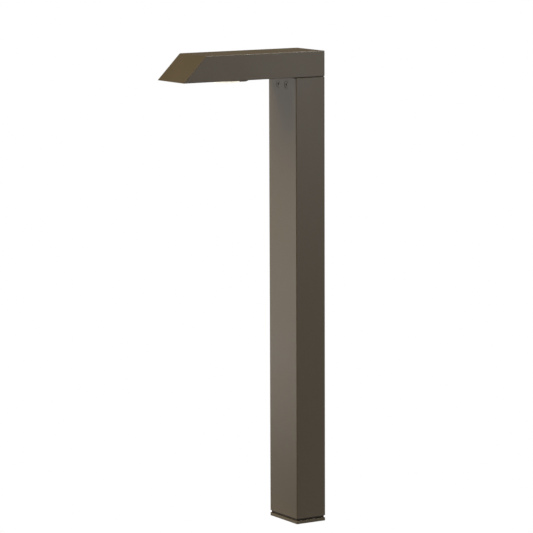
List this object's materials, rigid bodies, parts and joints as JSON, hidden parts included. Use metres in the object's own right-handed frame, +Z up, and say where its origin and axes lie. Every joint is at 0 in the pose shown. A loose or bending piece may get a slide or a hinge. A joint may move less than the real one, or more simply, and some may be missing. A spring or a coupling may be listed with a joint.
{
  "type": "bollard light",
  "caption": "Outdoor path light: a rectangular bronze-painted post with a flat wedge-nosed head cantilevered from its top, lit by a round lens in the underside.",
  "frame": {"origin": "centre of the base plate's underside, on the post's axis", "axes": "+Z up along the post; the head reaches forward along -Y; X runs across the wide faces of the post"},
  "size_m": [0.0762, 0.2425, 0.7112],
  "materials": {
    "bronze_paint": "satin dark bronze powder coat",
    "bronze_screw": "bronze coated stainless",
    "cast_aluminium": "as cast",
    "steel": "zinc plated",
    "rubber": "matt, very dark brown",
    "frosted_lens": "frosted, lit from behind",
    "mirror_coat": "bright vacuum coated",
    "board_white": "white solder mask",
    "phosphor": "silicone over the light source",
    "pad_grey": "soft heat-conducting pad",
    "driver_black": "potted case",
    "nylon": "natural nylon",
    "splice_cap": "moulded cap",
    "brass": "plain",
    "lead_red": "wire insulation",
    "lead_black": "wire insulation",
    "lead_white": "wire insulation",
    "lead_green": "wire insulation"
  },
  "bodies": {
    "root": {"base_plate": "bronze_paint", "post_tube": "bronze_paint", "head_housing": "bronze_paint", "underside_cover": "bronze_paint", "lens_bezel": "bronze_paint", "neck_screw_1": "bronze_screw", "neck_screw_2": "bronze_screw", "base_screw_1": "bronze_screw", "base_screw_2": "bronze_screw", "cover_screw_1": "bronze_screw", "cover_screw_2": "bronze_screw", "cover_screw_3": "bronze_screw", "cover_screw_4": "bronze_screw", "bezel_screw_1": "bronze_screw", "bezel_screw_2": "bronze_screw", "bezel_screw_3": "bronze_screw", "neck_spigot": "cast_aluminium", "heat_plate": "cast_aluminium", "driver_strap": "steel", "earth_screw": "steel", "neck_bolt_1": "steel", "neck_bolt_2": "steel", "neck_bolt_3": "steel", "neck_bolt_4": "steel", "strap_screw_1": "steel", "strap_screw_2": "steel", "driver_screw_1": "steel", "driver_screw_2": "steel", "board_screw_1": "steel", "board_screw_2": "steel", "heat_plate_screw_1": "steel", "heat_plate_screw_2": "steel", "base_gasket": "rubber", "neck_gasket": "rubber", "cable_grommet": "rubber", "wire_grommet": "rubber", "cover_gasket": "rubber", "lens_gasket": "rubber", "lens": "frosted_lens", "reflector": "mirror_coat", "led_board": "board_white", "led_chip": "phosphor", "thermal_pad": "pad_grey", "led_driver": "driver_black", "lead_socket": "nylon", "lead_plug": "nylon", "splice_cap_1": "splice_cap", "splice_cap_2": "splice_cap", "earth_lug": "brass", "lamp_lead_red": "lead_red", "board_lead_red": "lead_red", "lamp_lead_black": "lead_black", "board_lead_black": "lead_black", "supply_lead_black": "lead_black", "supply_lead_white": "lead_white", "earth_lead": "lead_green"}
  },
  "joints": []
}
